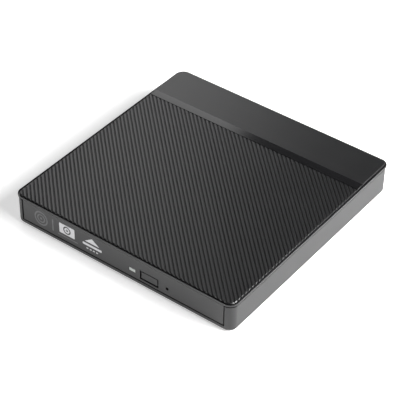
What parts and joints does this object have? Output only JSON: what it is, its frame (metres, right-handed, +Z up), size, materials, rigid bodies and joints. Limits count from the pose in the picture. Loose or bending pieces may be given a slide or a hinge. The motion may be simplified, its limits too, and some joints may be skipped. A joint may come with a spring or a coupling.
{
  "type": "external optical drive",
  "caption": "Flat square USB optical drive in a ribbed plastic case, with a sliding disc tray, eject button, latch, spindle and laser sled.",
  "frame": {"origin": "on the table under the middle of the case, at the bottom of the feet", "axes": "+X to the right seen from the tray's side, +Y towards the back with the USB socket, +Z up"},
  "size_m": [0.14, 0.142, 0.0192],
  "materials": {
    "cover_plastic": "satin-gloss black, finely ribbed",
    "shell_plastic": "satin black moulded",
    "bezel_plastic": "satin black moulded",
    "tray_plastic": "fine matt black moulded",
    "foot_rubber": "matt black",
    "zinc_screw": "zinc plated",
    "pad_foam": "open-cell grey foam",
    "circuit_board": "green solder mask",
    "chip_black": "moulded epoxy",
    "socket_steel": "nickel plated",
    "connector_black": "moulded",
    "contact_gold": "gold flashed",
    "chassis_steel": "galvanised sheet",
    "guide_nylon": "natural acetal",
    "rail_steel": "rolled bright",
    "flex_film": "amber film",
    "spring_wire": "drawn wire",
    "lamp_lens": "frosted clear",
    "coil_copper": "enamelled copper",
    "deck_steel": "zinc-plated pressing",
    "rotor_steel": "turned",
    "sled_alloy": "die-cast",
    "screw_steel": "ground"
  },
  "bodies": {
    "case": {"top_cover": "cover_plastic", "bottom_shell": "shell_plastic", "feet": "foot_rubber", "case_screws": "zinc_screw", "drive_pads": "pad_foam", "bridge_board": "circuit_board", "bridge_parts": "chip_black", "board_screws": "zinc_screw", "usb_shell": "socket_steel", "usb_tongue": "connector_black", "usb_contacts": "contact_gold", "sata_receptacle": "connector_black", "sata_plug": "connector_black", "upper_chassis": "chassis_steel", "lower_chassis": "chassis_steel", "chassis_screws": "zinc_screw", "guide_left": "guide_nylon", "guide_right": "guide_nylon", "main_board": "circuit_board", "main_parts": "chip_black", "flex_cable": "flex_film", "latch_post": "rail_steel", "ejector_bracket": "tray_plastic", "ejector_spring": "spring_wire"},
    "rail_left": {"rail_left": "rail_steel"},
    "rail_right": {"rail_right": "rail_steel"},
    "ejector": {"ejector_plunger": "guide_nylon"},
    "tray": {"tray": "tray_plastic", "tray_bezel": "bezel_plastic", "lamp_window": "lamp_lens", "busy_lamp": "lamp_lens", "switch_board": "circuit_board", "eject_switch": "socket_steel", "tray_board": "circuit_board", "tray_socket": "guide_nylon", "underside_cover": "chassis_steel", "tray_screws": "zinc_screw", "latch_pin": "rail_steel", "latch_spring": "spring_wire", "solenoid": "coil_copper", "traverse_deck": "deck_steel", "dampers": "foot_rubber", "deck_screws": "zinc_screw", "spindle_base": "deck_steel", "spindle_stator": "coil_copper", "guide_rods": "rail_steel", "stepper_motor": "rotor_steel"},
    "button": {"eject_button": "bezel_plastic", "switch_stem": "connector_black"},
    "latch": {"latch_lever": "guide_nylon"},
    "emergency": {"emergency_slider": "guide_nylon"},
    "solenoid_core": {"solenoid_plunger": "rail_steel"},
    "spindle": {"spindle_rotor": "rotor_steel", "hub_ring": "foot_rubber"},
    "claw_a": {"claw_a": "guide_nylon"},
    "claw_b": {"claw_b": "guide_nylon"},
    "claw_c": {"claw_c": "guide_nylon"},
    "sled": {"pickup_sled": "sled_alloy"},
    "lens": {"lens_holder": "connector_black"},
    "screw": {"lead_screw": "screw_steel"}
  },
  "joints": [
    {"name": "tray_slide", "type": "slide", "parent": "case", "child": "tray", "axis": [0, -1, 0], "range_m": [0, 0.13], "deforming": ["flex_cable"]},
    {"name": "rail_left_slide", "type": "slide", "parent": "case", "child": "rail_left", "axis": [0, -1, 0], "range_m": [0, 0.065]},
    {"name": "rail_right_slide", "type": "slide", "parent": "case", "child": "rail_right", "axis": [0, -1, 0], "range_m": [0, 0.065]},
    {"name": "ejector_push", "type": "slide", "parent": "case", "child": "ejector", "axis": [0, -1, 0], "range_m": [0, 0.008], "deforming": ["ejector_spring"]},
    {"name": "eject_press", "type": "slide", "parent": "tray", "child": "button", "axis": [0, 1, 0], "range_m": [0, 0.0008], "stiffness_N_per_m": 900},
    {"name": "latch_release", "type": "hinge", "parent": "tray", "child": "latch", "pos_m": [0.049, -0.046, 0.0076], "axis": [0, 0, -1], "range_deg": [0, 12]},
    {"name": "emergency_push", "type": "slide", "parent": "tray", "child": "emergency", "axis": [0, 1, 0], "range_m": [0, 0.0025]},
    {"name": "solenoid_pull", "type": "slide", "parent": "tray", "child": "solenoid_core", "axis": [-1, 0, 0], "range_m": [0, 0.0017], "stiffness_N_per_m": 150},
    {"name": "spindle_spin", "type": "hinge", "parent": "tray", "child": "spindle", "pos_m": [0, -0.005, 0.0095], "axis": [0, 0, 1], "continuous": true},
    {"name": "claw_a_press", "type": "slide", "parent": "spindle", "child": "claw_a", "axis": [0.7071, 0.7071, 0], "range_m": [0, 0.0005], "stiffness_N_per_m": 150},
    {"name": "claw_b_press", "type": "slide", "parent": "spindle", "child": "claw_b", "axis": [-0.9659, 0.2588, 0], "range_m": [0, 0.0005]},
    {"name": "claw_c_press", "type": "slide", "parent": "spindle", "child": "claw_c", "axis": [0.2588, -0.9659, 0], "range_m": [0, 0.0005]},
    {"name": "sled_travel", "type": "slide", "parent": "tray", "child": "sled", "axis": [-0.7071, -0.7071, 0], "range_m": [0, 0.032]},
    {"name": "screw_turn", "type": "hinge", "parent": "tray", "child": "screw", "pos_m": [0.00403, -0.02685, 0.0074], "axis": [-0.7071, -0.7071, 0], "continuous": true},
    {"name": "lens_focus", "type": "slide", "parent": "sled", "child": "lens", "axis": [0, 0, 1], "range_m": [-0.0004, 0.0004], "stiffness_N_per_m": 60}
  ],
  "couplings": [
    {"joint": "rail_left_slide", "follows": "tray_slide", "ratio": 0.5},
    {"joint": "rail_right_slide", "follows": "tray_slide", "ratio": 0.5},
    {"joint": "ejector_push", "follows": "tray_slide", "ratio": 0.061539},
    {"joint": "latch_release", "follows": "solenoid_pull", "rad_per_m": 123.2},
    {"joint": "emergency_push", "follows": "solenoid_pull", "ratio": 1.4706},
    {"joint": "claw_b_press", "follows": "claw_a_press", "ratio": 1},
    {"joint": "claw_c_press", "follows": "claw_a_press", "ratio": 1},
    {"joint": "screw_turn", "follows": "sled_travel", "rad_per_m": 2094.4}
  ]
}
